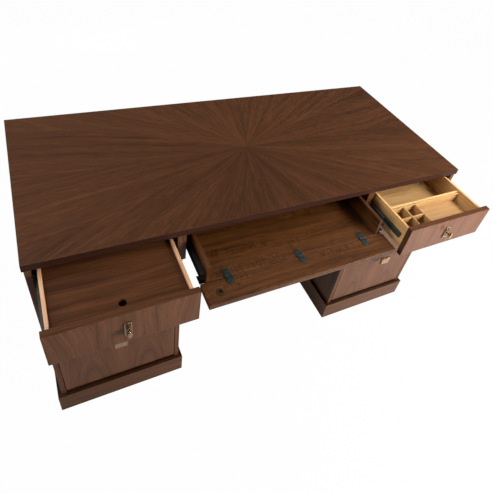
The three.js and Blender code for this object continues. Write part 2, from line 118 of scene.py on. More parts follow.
# book-matched leaves of a sunburst: wedges round the middle, each the mirror of the next. The top is thin,
# so each leaf's own drift through the wood takes the place of the depth.
def sunburstLeaves(tree, look, along, across, depth):
    wedge = 2 * math.pi / look["leaves"]
    angle = addNode(tree, "Math", {0: across, 1: along}, operation="ARCTAN2")
    flat = addNode(tree, "CombineXYZ", {0: along, 1: across})
    radius = addNode(tree, "VectorMath", {0: flat}, operation="LENGTH")
    turns = addNode(tree, "Math", {0: angle, 1: wedge}, operation="DIVIDE")
    leaf = addNode(tree, "Math", {0: turns}, operation="FLOOR")
    folded = addNode(tree, "Math", {0: turns, 1: 1.0}, operation="PINGPONG")
    local = addNode(tree, "Math", {0: folded, 1: wedge, 2: -wedge / 2}, operation="MULTIPLY_ADD")
    cosine = addNode(tree, "Math", {0: local}, operation="COSINE")
    sine = addNode(tree, "Math", {0: local}, operation="SINE")
    leafAlong = addNode(tree, "Math", {0: radius, 1: cosine}, operation="MULTIPLY")
    # the trunk's taper makes the lines run together towards the middle
    girth = addNode(tree, "Math", {0: radius, 1: look["taper"], 2: look["narrow"] * mm},
                    operation="MULTIPLY_ADD")
    leafAcross = addNode(tree, "Math", {0: girth, 1: sine}, operation="MULTIPLY")
    # leaves whose grain runs to the back catch more light than the ones that run to the front
    middle = addNode(tree, "Math", {0: leaf, 1: wedge, 2: wedge / 2}, operation="MULTIPLY_ADD")
    glow = addNode(tree, "Math", {0: middle}, operation="SINE")
    level = addNode(tree, "Math", {0: glow, 1: look["leafGlow"], 2: 1.0}, operation="MULTIPLY_ADD")
    drift = addNode(tree, "Math", {0: leaf, 1: look["leafDrift"] * mm}, operation="MULTIPLY")
    return leafAlong, leafAcross, drift, level


# two mirrored leaves whose lines lean away from the joint as they rise
def fanLeaves(tree, look, along, across, depth):
    side = addNode(tree, "Math", {0: across}, operation="ABSOLUTE")
    widening = addNode(tree, "Math", {0: along, 1: 1 / (look["fanHeight"] * mm), 2: 1.0},
                       operation="MULTIPLY_ADD")
    return along, addNode(tree, "Math", {0: side, 1: widening}, operation="DIVIDE"), depth, None


# two mirrored leaves of crown-cut veneer: long arches stand in the middle of each leaf
def crownLeaves(tree, look, along, across, depth):
    side = addNode(tree, "Math", {0: across}, operation="ABSOLUTE")
    local = addNode(tree, "Math", {0: side, 1: -look["leafMiddle"] * mm}, operation="ADD")
    share, foot = look["archShare"], look["archFoot"] * mm
    rise = addNode(tree, "Math", {0: along, 1: share, 2: share * foot}, operation="MULTIPLY_ADD")
    flat = addNode(tree, "CombineXYZ", {0: rise, 1: local})
    return along, addNode(tree, "VectorMath", {0: flat}, operation="LENGTH"), depth, None


def woodMaterial(name, base, leafPattern=None, **changes):
    look = {**base, **changes}
    material, tree = newMaterial(name)
    grain = addNode(tree, "Attribute", attribute_name="grain")
    parts = addNode(tree, "SeparateXYZ", {0: grain.outputs["Vector"]})
    along, across, depth = parts.outputs
    level = None
    if leafPattern:
        along, across, depth, level = leafPattern(tree, look, along, across, depth)
    grainPlace = addNode(tree, "CombineXYZ", {0: along, 1: across, 2: depth})
    # the values that each noise is spread over
    wander, half = look["wanderBy"] * mm, look["streakDepth"] / 2
    ranges = {"wander": (-wander, wander), "streak": (0.5 - half, 0.5 + half), "fibre": look["roughness"],
              "pore": (0.0, look["poreDepth"]), "tone": look["toneRange"]}
    if "ripple" in look:
        ranges.update(ripple=(-1.0, 1.0), curl=(0.0, look["rippleDepth"]))
    noises, spread = {}, {}
    for kind, (low, high) in ranges.items():
        width, length = (size * mm for size in look[kind])
        scale = (1 / length, 1 / width, 1 / width)
        if kind == "ripple":  # this figure lies across the grain
            scale = (1 / width, 1 / length, 1 / length)
        stretched = addNode(tree, "VectorMath", {0: grainPlace, 1: scale}, operation="MULTIPLY")
        noises[kind] = addNode(tree, "TexNoise", {
            "Vector": stretched, "Scale": 1.0, "Detail": woodNoise["detail"][kind],
            "Roughness": woodNoise["roughness"]})
        spanLow, spanHigh = woodNoise["span"][kind]
        spread[kind] = addNode(tree, "MapRange", {"Value": noises[kind], "From Min": spanLow,
                                                  "From Max": spanHigh, "To Min": low, "To Max": high})
        if kind == "wander":
            # the trunk wasn't straight, so the lines wander off sideways
            aside = addNode(tree, "CombineXYZ", {1: spread[kind]})
            grainPlace = addNode(tree, "VectorMath", {0: grainPlace, 1: aside}, operation="ADD")
    # growth lines darken slowly and end at once
    moved = addNode(tree, "SeparateXYZ", {0: grainPlace})
    loose = addNode(tree, "Math", {0: noises["streak"], 1: look["ringLoose"]}, operation="MULTIPLY")
    ring = addNode(tree, "Math", {0: moved.outputs[1], 1: 1 / (look["ring"] * mm), 2: loose},
                   operation="MULTIPLY_ADD")
    ring = addNode(tree, "Math", {0: ring}, operation="FRACT")
    ring = addNode(tree, "ValToRGB", {0: ring}, woodNoise["ringStops"])
    value = spread["streak"]
    for pattern, share, middle in ((noises["fibre"], look["fibreDepth"], woodNoise["fibreMiddle"]),
                                   (ring, -look["ringDepth"], woodNoise["ringMiddle"])):
        centred = addNode(tree, "Math", {0: pattern, 1: -middle}, operation="ADD")
        value = addNode(tree, "Math", {0: centred, 1: share, 2: value}, operation="MULTIPLY_ADD")
    colour = addNode(tree, "ValToRGB", {0: value}, look["colours"])
    tone = spread["tone"]
    if level:
        tone = addNode(tree, "Math", {0: tone, 1: level}, operation="MULTIPLY")
    if "ripple" in look:
        # curled grain comes and goes in patches
        ripple = addNode(tree, "Math", {0: spread["ripple"], 1: spread["curl"], 2: 1.0},
                         operation="MULTIPLY_ADD")
        tone = addNode(tree, "Math", {0: tone, 1: ripple}, operation="MULTIPLY")
    toned = addNode(tree, "VectorMath", {0: colour, "Scale": tone}, operation="SCALE")
    surface = addNode(tree, "Mix", {0: spread["pore"], 6: toned, 7: linearColour(look["poreColour"])},
                      data_type="RGBA")
    relief = addNode(tree, "Math", {0: spread["pore"], 1: -1.0, 2: noises["fibre"]}, operation="MULTIPLY_ADD")
    bump = addNode(tree, "Bump", {"Height": relief, "Strength": look["bump"],
                                  "Distance": woodNoise["reliefHeight"] * mm})
    shader = addNode(tree, "BsdfPrincipled", {
        "Base Color": surface, "Roughness": spread["fibre"], "Normal": bump,
        "Specular IOR Level": look["specular"], "Coat Weight": look["coat"],
        "Coat Roughness": look["coatRoughness"],
    })
    addNode(tree, "OutputMaterial", {"Surface": shader})
    return material


# the top's faces, satin: sixteen leaves that meet in the middle
sunburstVeneer = woodMaterial(
    "sunburstWalnutVeneer", walnut, sunburstLeaves, leaves=16, leafGlow=0.19, leafDrift=35,
    taper=0.6, narrow=150,
    colours=[(0.0, "#1f1109"), (0.3, "#392111"), (0.5, "#492b18"), (0.7, "#56341f"), (1.0, "#67442d")],
    wander=(120, 420), wanderBy=14, streak=(14, 520), streakDepth=0.27, ringDepth=0.05, fibre=(2.8, 45),
    fibreDepth=0.7, pore=(2.2, 22), poreDepth=0.35, tone=(60, 700), toneRange=(0.88, 1.12),
    coat=0.06, coatRoughness=0.3, specular=0.16, roughness=(0.42, 0.52))
# the fronts are lacquered and rubbed to a shine, and their grain is quiet
lacquered = {
    **walnut, "streakDepth": 0.42, "ringDepth": 0.1, "fibreDepth": 0.35,
    "specular": 0.05, "coat": 0.42, "coatRoughness": 0.05,
    "colours": [(0.0, "#2f1a0d"), (0.3, "#472b19"), (0.5, "#573622"), (0.7, "#64402a"), (1.0, "#764e35")],
}
# the shallow drawers' fronts: straight lines that spread like a fan
fanVeneer = woodMaterial("fannedWalnutVeneer", lacquered, fanLeaves, fanHeight=900, streakDepth=0.3)
# the file drawers' fronts: long nested arches in each leaf
crownVeneer = woodMaterial("crownWalnutVeneer", lacquered, crownLeaves, archShare=0.11, archFoot=300,
                           leafMiddle=95, wanderBy=4, ringDepth=0.06, streakDepth=0.33)
# case panels and plinths: plain sliced veneer, with a soft shine
plainVeneer = woodMaterial("slicedWalnutVeneer", walnut, coat=0.22, specular=0.12)
# bands along edges are wiped thin with lacquer, so they look dull; the bands' colours below are darker than
# the faces, partly as painted shade
edgeFinish = {"coat": 0.05, "coatRoughness": 0.3}
# the plinths' top faces: the darkest walnut here, painted dark as shade
paintedShadeVeneer = woodMaterial("plinthTopPaintedShade", walnut, **edgeFinish, specular=0.1,
                          colours=[(0.0, "#100805"), (0.5, "#22130b"), (1.0, "#352014")])
# the bands glued round the fronts' edges: their walnut is painted darker than the faces as shade along the
# edges
edgeVeneerWithPaintedShade = woodMaterial(
    "edgeBandWalnutPaintedShade", walnut, **edgeFinish, specular=0.12,
    colours=[(0.0, "#251308"), (0.3, "#392111"), (0.5, "#462918"), (0.7, "#50321f"), (1.0, "#603e28")])
# the top's own edge band: painted dark as shade, nearly as dark as the plinths' top faces
paintedShadeTopEdge = woodMaterial(
    "topEdgeWalnutPaintedShade", walnut, **edgeFinish, specular=0.12,
    colours=[(0.0, "#160905"), (0.3, "#24140d"), (0.5, "#2d1913"), (0.7, "#342018"), (1.0, "#402821")])
# tray and flap: oiled walnut, more orange and dull, with curled grain in patches
curlyWalnut = woodMaterial(
    "curlyWalnut", walnut, rippleDepth=0.42, ripple=(3.6, 20), curl=(50, 170),
    colours=[(0.0, "#1d0d05"), (0.3, "#351c08"), (0.5, "#492910"), (0.75, "#563215"), (1.0, "#68411e")],
    streak=(14, 420), streakDepth=0.38, fibre=(2.2, 40), fibreDepth=0.75,
    coat=0.1, coatRoughness=0.3, specular=0.25)
# the drawer's lid: the same wood from a quieter, redder board
quietWalnut = woodMaterial(
    "quietWalnut", walnut, streak=(22, 600), streakDepth=0.5, fibre=(2.2, 60), fibreDepth=0.5,
    colours=[(0.0, "#221007"), (0.3, "#3a1f10"), (0.5, "#492b16"), (0.75, "#57341e"), (1.0, "#664226")],
    tone=(110, 300), toneRange=(0.88, 1.1), coat=0.06, coatRoughness=0.3, specular=0.12)
# the right drawer's box, the floors, the file boxes and their runners: straw-coloured boards
solidMaple = woodMaterial("solidMaple", maple)
# the pencil tray: a shade darker than the boxes
trayMaple = woodMaterial(
    "trayMaple", maple,
    colours=[(0.0, "#8e6236"), (0.3, "#a27748"), (0.55, "#b28b5b"), (0.8, "#bd996c"), (1.0, "#c3a57b")])
# the left drawer's box: boards with more pink heartwood
pinkMaple = woodMaterial(
    "pinkMaple", maple,
    colours=[(0.0, "#99643c"), (0.3, "#b48359"), (0.55, "#c99c7a"), (0.8, "#d7af8c"), (1.0, "#e2be9d")])
print("woods made")

# Metals. Their real grit is about 0.1 mm wide, too fine to show, so it is drawn 1 to 4 mm wide.
metalNoise = {"detail": 3.0, "span": (0.3, 0.7), "reliefHeight": 0.1}


# a metal with grit: colour, roughness and bump all vary a little
def metalMaterial(name, look):
    material, tree = newMaterial(name)
    place = addNode(tree, "TexCoord")
    grit = addNode(tree, "TexNoise", {"Vector": place.outputs["Object"], "Scale": 1 / (look["grit"] * mm),
                                      "Detail": metalNoise["detail"]})
    stops = list(zip(metalNoise["span"], (look["dark"], look["light"])))
    colour = addNode(tree, "ValToRGB", {0: grit}, stops)
    smoothest, roughest = look["roughness"]
    rough = addNode(tree, "MapRange", {"Value": grit, "To Min": smoothest, "To Max": roughest})
    bump = addNode(tree, "Bump", {"Height": grit, "Strength": look["bump"],
                                  "Distance": metalNoise["reliefHeight"] * mm})
    shader = addNode(tree, "BsdfPrincipled", {"Base Color": colour, "Metallic": look["metallic"],
                                              "Roughness": rough, "Normal": bump})
    addNode(tree, "OutputMaterial", {"Surface": shader})
    return material


# the pulls: cast zinc, plated and lacquered, a warm pewter with a soft gleam
platedPewter = metalMaterial("platedPewter", {"dark": "#aa8e6d", "light": "#d3b28f", "grit": 1.2,
                                              "roughness": (0.18, 0.28), "metallic": 1.0, "bump": 0.03})
# the sunk panel of the shallow drawers' pulls: the same plating, painted dark as the shade of the knob on the
# plate
pullPanelPaintedShade = metalMaterial("pullPanelPaintedShade", {"dark": "#5b4c3c", "light": "#806d57", "grit": 1.2,
                                          "roughness": (0.25, 0.4), "metallic": 0.9, "bump": 0.06})
# hinges: brass darkened with acid, a dull green-black
darkenedBrass = metalMaterial("darkenedBrass", {"dark": "#19201c", "light": "#333d38", "grit": 2.5,
                                                "roughness": (0.5, 0.65), "metallic": 0.4, "bump": 0.1})
# the catch: cast bronze, brown with age, with lighter rubbed spots
agedBronze = metalMaterial("agedBronze", {"dark": "#3d2c19", "light": "#6a4f33", "grit": 2.0,
                                          "roughness": (0.3, 0.45), "metallic": 0.8, "bump": 0.1})
# the drawers' runners: rolled steel, zinc plated and passivated, a dark grey-green sheen, painted darker
# still as shade
zincSteelPaintedShade = metalMaterial("darkZincSteelPaintedShade", {"dark": "#383f3f", "light": "#535a59", "grit": 4,
                                            "roughness": (0.3, 0.45), "metallic": 0.5, "bump": 0.05})
# the tray's runners and brackets: steel under baked black enamel, nearly without shine
blackSteel = metalMaterial("blackEnamelSteel", {"dark": "#080808", "light": "#131312", "grit": 1.5,
                                                "roughness": (0.35, 0.5), "metallic": 0.1, "bump": 0.1})
# ball cages and screws: bright zinc plating, the palest metal here
brightZinc = metalMaterial("brightZinc", {"dark": "#8d918e", "light": "#b9bcb9", "grit": 1.0,
                                          "roughness": (0.25, 0.4), "metallic": 1.0, "bump": 0.05})
print("metals made")

# each board's grain starts at its own place, in metres, and its edges take another stretch of it
grainPlaces = {"steps": (0.731, 1.277, 2.113), "span": 6, "edgeShift": 2.7}
boardNumbers = itertools.count(1)
facesUp = 0.9  # a face looks up if this much of its normal does
sharpAngle = 35  # degrees between faces of a smooth piece, from which an edge stays sharp


# joins parts into one piece: a part is a shape, and for wood the way its grain runs and how it is cut
def newPiece(name, body, materials, parts, replaces, smooth=False):
    verts, faces, grain, skins = [], [], [], []
    for part in parts:
        shape = part["shape"]
        bmesh.ops.recalc_face_normals(shape, faces=shape.faces)
        shape.normal_update()
        shape.verts.index_update()
        offset = len(verts)
        verts += [tuple(v.co) for v in shape.verts]
        size = [max(v.co[i] for v in shape.verts) - min(v.co[i] for v in shape.verts) for i in range(3)]
        along = "xyz".index(part.get("along", "z"))
        across, depth = sorted((i for i in range(3) if i != along), key=lambda i: -size[i])
        if "origin" in part:
            shift = -Vector(part["origin"])
        else:
            number = next(boardNumbers)
            shift = Vector((number * step % grainPlaces["span"] for step in grainPlaces["steps"]))
        for face in shape.faces:
            flat = max(range(3), key=lambda i: abs(face.normal[i]))
            axes = (along, across, depth)
            onEdge = part.get("veneered") and flat != depth
            if onEdge:
                axes = (*sorted((i for i in range(3) if i != flat), key=lambda i: -size[i]), flat)
            edgeShift = grainPlaces["edgeShift"] if onEdge else 0
            faces.append([v.index + offset for v in face.verts])
            skin = part["topSkin"] if "topSkin" in part and face.normal.z > facesUp else part.get("skin", 0)
            skins.append(min(len(materials) - 1, 1 if onEdge else skin))
            for v in face.verts:
                spot = v.co + shift
                grain += [spot[axes[0]], spot[axes[1]] + edgeShift, spot[axes[2]]]
        shape.free()
    mesh = bpy.data.meshes.new(name)
    mesh.from_pydata(verts, [], faces)
    mesh.attributes.new("grain", "FLOAT_VECTOR", "CORNER").data.foreach_set("vector", grain)
    mesh.polygons.foreach_set("material_index", skins)
    for material in materials:
        mesh.materials.append(material)
    if smooth:
        mesh.shade_smooth()
        mesh.set_sharp_from_angle(angle=math.radians(sharpAngle))
    mesh.update()
    piece = bpy.data.objects.new(name, mesh)
    bpy.context.scene.collection.objects.link(piece)
    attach(piece, body)
    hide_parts(*replaces)


def easedBox(low, high, ease):
    shape = bmesh.new()
    low, high = Vector(low), Vector(high)
    place = Matrix.Translation((low + high) / 2) @ Matrix.Diagonal((*(high - low), 1.0))
    bmesh.ops.create_cube(shape, size=1.0, matrix=place)
    if ease:
        bmesh.ops.bevel(shape, geom=shape.edges[:], offset=ease * mm, segments=2, profile=0.5, affect="EDGES")
    return shape


narrowestMitre = 0.3  # keeps the point of a very sharp mitre from running far away


# moves a closed outline to its inner side by a distance, mitred at each point
def insetOutline(outline, distance):
    moved = []
    for i, point in enumerate(outline):
        before = (Vector(point) - Vector(outline[i - 1])).normalized()
        after = (Vector(outline[(i + 1) % len(outline)]) - Vector(point)).normalized()
        normal = Vector((-before.y - after.y, before.x + after.x)).normalized()
        stretch = max(narrowestMitre, normal.dot(Vector((-before.y, before.x))))
        moved.append(Vector(point) + normal * distance / stretch)
    return moved


def circle(radius, centre=(0, 0), steps=32, clockwise=False):
    turn = -1 if clockwise else 1
    angles = [turn * 2 * math.pi * i / steps for i in range(steps)]
    return [(centre[0] + radius * math.cos(a), centre[1] + radius * math.sin(a)) for a in angles]


# a rectangle's corners, counterclockwise
def rectangle(lowX, lowY, highX, highY):
    return [(lowX, lowY), (highX, lowY), (highX, highY), (lowX, highY)]


# a flat plate with eased rims, in its own plane from height 0 up. Holes go through, or down by a depth.
def plate(outline, thickness, ease, holes=(), place=Matrix.Identity(4)):
    shape = bmesh.new()
    rim = [(ease * (1 - math.sin(a)), ease * (1 - math.cos(a))) for a in (0, math.pi / 4, math.pi / 2)]
    whole = rim + [(inset, thickness - height) for inset, height in reversed(rim)]
    lowLoops, highLoops = [], []
    for points, depth in [(outline, None), *holes]:
        profile = whole if depth is None else [(0, thickness - depth)] + whole[len(rim):]
        rings = [[shape.verts.new((*p, height)) for p in insetOutline(points, inset)]
                 for inset, height in profile]
        for lower, upper in zip(rings, rings[1:]):
            for i in range(len(lower)):
                shape.faces.new((lower[i - 1], lower[i], upper[i], upper[i - 1]))
        highLoops.append(rings[-1])
        if depth is None:
            lowLoops.append(rings[0])
        else:
            shape.faces.new(rings[0])
    for loops in (lowLoops, highLoops):
        flat = [v for loop in loops for v in loop]
        for triangle in tessellate_polygon([[v.co for v in loop] for loop in loops]):
            shape.faces.new([flat[i] for i in triangle])
    bmesh.ops.transform(shape, matrix=place, verts=shape.verts)
    return shape


# a closed skin over rings: each ring is a half width, a half height and its place along the axis
def ringStack(rings, place, steps):
    shape = bmesh.new()
    loops = []
    for wide, high, along in rings:
        loops.append([shape.verts.new((wide * math.cos(a), high * math.sin(a), along))
                      for a in (2 * math.pi * i / steps for i in range(steps))])
    for lower, upper in zip(loops, loops[1:]):
        for i in range(steps):
            shape.faces.new((lower[i - 1], lower[i], upper[i], upper[i - 1]))
    shape.faces.new(loops[0])
    shape.faces.new(loops[-1])
    bmesh.ops.transform(shape, matrix=place, verts=shape.verts)
    return shape


# an outline in x and z, run along y
def prismAlongY(outline, near, far):
    shape = bmesh.new()
    front = [shape.verts.new((x, near, z)) for x, z in outline]
    back = [shape.verts.new((x, far, z)) for x, z in outline]
    shape.faces.new(front)
    shape.faces.new(back)
    for i in range(len(outline)):
        shape.faces.new((front[i - 1], front[i], back[i], back[i - 1]))
    return shape


bendSteps = 4


# the section of sheet metal bent along a path, which follows its outer side and turns one way only
def bentSheet(path, sheet, bend):
    path = [Vector(point) for point in path]
    ways = [(b - a).normalized() for a, b in zip(path, path[1:])]
    outer, inner = [path[0]], [path[0] + ways[1] * sheet]
    for corner, way, turned in zip(path[1:], ways, ways[1:]):
        centre = corner + (turned - way) * bend
        for i in range(bendSteps + 1):
            a = math.pi / 2 * i / bendSteps
            spoke = way * math.sin(a) - turned * math.cos(a)
            outer.append(centre + spoke * bend)
            inner.append(centre + spoke * (bend - sheet))
    outer.append(path[-1])
    inner.append(path[-1] - ways[-2] * sheet)
    return [tuple(point) for point in outer + inner[::-1]]


# shares of a screw head's radius, and of its height
screw = {"slotLength": 0.7, "slotWidth": 0.16, "ease": 0.45, "slotDepth": 0.5, "steps": 24}


# a screw's head with a slot
def screwHead(radius, height, place):
    long, wide = screw["slotLength"] * radius, screw["slotWidth"] * radius
    slot = rectangle(-long, -wide, long, wide)[::-1]
    return plate(circle(radius, steps=screw["steps"]), height, height * screw["ease"],
                 [(slot, height * screw["slotDepth"])], place)


# puts a plate or a stack, which is made facing up, at a point and turns it to the front, right or left
def facing(direction, point):
    quarter = math.pi / 2
    turn = {"front": Matrix.Rotation(quarter, 4, "X"), "right": Matrix.Rotation(quarter, 4, "Y"),
            "left": Matrix.Rotation(-quarter, 4, "Y")}[direction]
    return Matrix.Translation(point) @ turn


# a node's lowest and highest corner
def corners(node):
    low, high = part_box(node)
    return Vector(low), Vector(high)


# a board with the node's own size
def wholeBoard(name, node, body, slot, materials, along, ease=0.8, **cut):
    low, high = corners(node)
    part = {"shape": easedBox(low, high, ease), "along": along, **cut}
    newPiece(name, body, materials, [part], [node])


# the top, its sunburst measured from its middle
topPiece = {"ease": 0.5}
low, high = corners("top_panel")
wholeBoard("topPanel", "top_panel", "desk", "top_walnut", [sunburstVeneer, paintedShadeTopEdge], "x",
           ease=topPiece["ease"], veneered=True, origin=(low + high) / 2)

# the plinth's edge is given as inset and drop from its top outer corner: a rounded edge and a fine groove
casePieces = {"ease": 0.8, "plinthWall": 30, "plinthLedge": 16,
              "plinthEdge": ((0, 2.5), (0.7, 0.7), (2.5, 0), (5, 0), (5.4, 1.6), (6.8, 1.6), (7.2, 0))}
for side in ("left", "right"):
    for node, name, along in (("outer_side", "OuterSide", "z"), ("inner_side", "InnerSide", "z"),
                              ("pedestal_back", "PedestalBack", "z"),
                              ("pedestal_floor", "PedestalFloor", "x"), ("tray_hanger", "TrayHanger", "y")):
        wholeBoard(side + name, f"{side}_{node}", "desk", "case_walnut", [plainVeneer], along,
                   ease=casePieces["ease"], veneered=True)

    # four moulded plinth boards, mitred at the corners
    low, high = corners(f"{side}_plinth")
    wall = casePieces["plinthWall"] * mm
    outer = rectangle(low.x, low.y, high.x, high.y)
    section = [(0, low.z), *((inset * mm, high.z - drop * mm) for inset, drop in casePieces["plinthEdge"]),
               (wall, high.z), (wall, low.z)]
    boards = []
    for i in range(len(outer)):
        shape = bmesh.new()
        ends = []
        for corner in (i, (i + 1) % len(outer)):
            ends.append([shape.verts.new((*insetOutline(outer, inset)[corner], z)) for inset, z in section])
            shape.faces.new(ends[-1])
        for j in range(len(section)):
            shape.faces.new((ends[0][j - 1], ends[0][j], ends[1][j], ends[1][j - 1]))
        # each board's top faces take the second material, painted dark as shade
        boards.append({"shape": shape, "along": "xy"[i % 2], "topSkin": 1})
    # the ledge behind the front board, under the pedestal floor's front edge
    ledge = casePieces["plinthLedge"] * mm
    boards.append({"along": "x", "shape": easedBox((low.x + wall, low.y + wall, high.z - ledge),
                                                   (high.x - wall, low.y + wall + ledge, high.z),
                                                   casePieces["ease"])})
    newPiece(side + "Plinth", "desk", [plainVeneer, paintedShadeVeneer], boards, [f"{side}_plinth"])
wholeBoard("modestyPanel", "modesty_panel", "desk", "case_walnut", [plainVeneer], "x",
           ease=casePieces["ease"], veneered=True)
print("case made")

# fronts: the figure's joint stands at each pedestal's middle, and starts at the file front's foot
frontPieces = {"ease": 1.6}
for side in ("left", "right"):
    low, high = corners(f"{side}_file_front")
    foot = Vector(((low.x + high.x) / 2, 0, low.z))
    for kind, veneer in (("drawer", fanVeneer), ("file", crownVeneer)):
        wholeBoard(f"{side}{kind.title()}Front", f"{side}_{kind}_front", f"{side}_{kind}", "front_walnut",
                   [veneer, edgeVeneerWithPaintedShade], "z", ease=frontPieces["ease"], veneered=True, origin=foot)

# shallow drawers: sides, a back between them, and ledges inside
shallowBox = {"wall": 9, "ledge": 10, "ease": 1.5, "ledgeEase": 0.5, "floorEase": 0.3, "partitionEase": 1.0,
              "left": {"ledgeTop": 73.8, "ledgeLength": 438}, "right": {"ledgeTop": 41.8, "ledgeLength": 112}}
for side in ("left", "right"):
    low, high = corners(f"{side}_drawer_box")
    wall, ledge = shallowBox["wall"] * mm, shallowBox["ledge"] * mm
    ledgeTop = low.z + shallowBox[side]["ledgeTop"] * mm
    ledgeEnd = low.y + shallowBox[side]["ledgeLength"] * mm
    boards = []
    for near, far in (((low.x, low.x + wall), (low.x + wall, low.x + wall + ledge)),
                      ((high.x - wall, high.x), (high.x - wall - ledge, high.x - wall))):
        wallBox = easedBox((near[0], low.y, low.z), (near[1], high.y, high.z), shallowBox["ease"])
        ledgeBox = easedBox((far[0], low.y, ledgeTop - ledge), (far[1], ledgeEnd, ledgeTop),
                            shallowBox["ledgeEase"])
        boards += [{"shape": wallBox, "along": "y"}, {"shape": ledgeBox, "along": "y"}]
    backBox = easedBox((low.x + wall, high.y - wall, low.z), (high.x - wall, high.y, high.z),
                       shallowBox["ease"])
    boards.append({"shape": backBox, "along": "x"})
    newPiece(side + "DrawerBox", f"{side}_drawer", [pinkMaple if side == "left" else solidMaple],
             boards, [f"{side}_drawer_box"])
    wholeBoard(side + "DrawerFloor", f"{side}_drawer_floor", f"{side}_drawer", "pale_wood", [solidMaple], "x",
               ease=shallowBox["floorEase"])
wholeBoard("rightDrawerPartition", "right_drawer_partition", "right_drawer", "pale_wood", [solidMaple], "x",
           ease=shallowBox["partitionEase"])

# the left drawer's lid with its finger hole
lid = {"ease": 1.0, "holeRadius": 10.5, "holeSetback": 30, "holeSteps": 40}
low, high = corners("left_drawer_lid")
middle = (low.x + high.x) / 2
hole = circle(lid["holeRadius"] * mm, (middle, low.y + lid["holeSetback"] * mm), lid["holeSteps"],
              clockwise=True)
board = plate(rectangle(low.x, low.y, high.x, high.y), high.z - low.z, lid["ease"] * mm, [(hole, None)],
              Matrix.Translation((0, 0, low.z)))
newPiece("leftDrawerLid", "left_lid", [quietWalnut], [{"shape": board, "along": "x"}],
         ["left_drawer_lid"])

# the pencil tray: thin walls and dividers round a floor
pencilTray = {"wall": 4, "floor": 5, "smallCell": 50, "ease": 0.7}
low, high = corners("pencil_tray")
wall, cell, ease = pencilTray["wall"] * mm, pencilTray["smallCell"] * mm, pencilTray["ease"]
middle = (low.y + high.y) / 2
boards = [((low.x, low.y, low.z), (high.x, high.y, low.z + pencilTray["floor"] * mm), "x")]
for y in (low.y, high.y - wall):
    boards.append(((low.x, y, low.z), (high.x, y + wall, high.z), "x"))
for x in (low.x, high.x - wall, low.x + wall + cell, low.x + 2 * (wall + cell)):
    boards.append(((x, low.y + wall, low.z), (x + wall, high.y - wall, high.z), "y"))
for x in (low.x + wall, low.x + 2 * wall + cell):
    boards.append(((x, middle - wall / 2, low.z), (x + cell, middle + wall / 2, high.z), "x"))
newPiece("pencilTray", "pencil_tray", [trayMaple],
         [{"shape": easedBox(a, b, ease), "along": along} for a, b, along in boards], ["pencil_tray"])

# file drawers: grooved sides that run on hardwood runners
fileBox = {"wall": 14, "floor": 10, "groove": 5, "grooveLow": 59.6, "grooveHigh": 80.4, "stop": 20,
           "ease": 1.5}
for side in ("left", "right"):
    low, high = corners(f"{side}_file_box")
    wall, floorTop = fileBox["wall"] * mm, low.z + fileBox["floor"] * mm
    grooveLow, grooveHigh = low.z + fileBox["grooveLow"] * mm, low.z + fileBox["grooveHigh"] * mm
    boards = []
    far = low.y + fileBox["stop"] * mm
    for face, inward in ((low.x, 1), (high.x, -1)):
        back, deep = face + inward * wall, face + inward * fileBox["groove"] * mm
        section = [(face, low.z), (back, low.z), (back, high.z), (face, high.z), (face, grooveHigh),
                   (deep, grooveHigh), (deep, grooveLow), (face, grooveLow)]
        boards.append({"shape": prismAlongY(section, low.y, high.y), "along": "y"})
        # the groove ends behind the front
        stop = easedBox((min(face, deep), low.y, grooveLow), (max(face, deep), far, grooveHigh), 0)
        boards.append({"shape": stop, "along": "y"})
    for y in (low.y, high.y - wall):
        end = easedBox((low.x + wall, y, low.z), (high.x - wall, y + wall, high.z), fileBox["ease"])
        boards.append({"shape": end, "along": "x"})
    bottom = easedBox((low.x + wall, low.y + wall, low.z), (high.x - wall, high.y - wall, floorTop), 0)
    boards.append({"shape": bottom, "along": "x"})
    newPiece(side + "FileBox", f"{side}_file", [solidMaple], boards, [f"{side}_file_box"])
    for wallName in ("inner", "outer"):
        wholeBoard(f"{side}File{wallName.title()}Runner", f"{side}_file_{wallName}_runner", "desk",
                   "pale_wood", [solidMaple], "y")
print("drawers made")

# the tray and its flap
trayPieces = {"ease": 1.0, "pocketRadius": 12.2, "pocketDepth": 6.2, "catchRadius": 12, "catchEase": 0.5,
              "catchSteps": 40, "boreRadius": 7, "boreDepth": 5.5}
for node, name, along in (("tray_board", "trayBoard", "x"), ("tray_left_side", "trayLeftSide", "y"),
                          ("tray_right_side", "trayRightSide", "y"), ("tray_back", "trayBack", "x")):
    wholeBoard(name, node, "tray", "inner_walnut", [curlyWalnut], along, ease=trayPieces["ease"])
low, high = corners("drop_front")
catchLow, catchHigh = corners("drop_front_catch")
catchMiddle = (catchLow + catchHigh) / 2
pocket = circle(trayPieces["pocketRadius"] * mm, catchMiddle.xy, clockwise=True)
flap = plate(rectangle(low.x, low.y, high.x, high.y), high.z - low.z, trayPieces["ease"] * mm,
             [(pocket, trayPieces["pocketDepth"] * mm)], Matrix.Translation((0, 0, low.z)))
newPiece("dropFront", "drop_front", [curlyWalnut], [{"shape": flap, "along": "x"}],
         ["drop_front"])
steps = trayPieces["catchSteps"]
bore = circle(trayPieces["boreRadius"] * mm, steps=steps, clockwise=True)
cup = plate(circle(trayPieces["catchRadius"] * mm, steps=steps), catchHigh.z - catchLow.z,
            trayPieces["catchEase"] * mm, [(bore, trayPieces["boreDepth"] * mm)],
            Matrix.Translation((catchMiddle.x, catchMiddle.y, catchLow.z)))
newPiece("dropFrontCatch", "drop_front", [agedBronze], [{"shape": cup}],
         ["drop_front_catch"], smooth=True)
print("tray made")
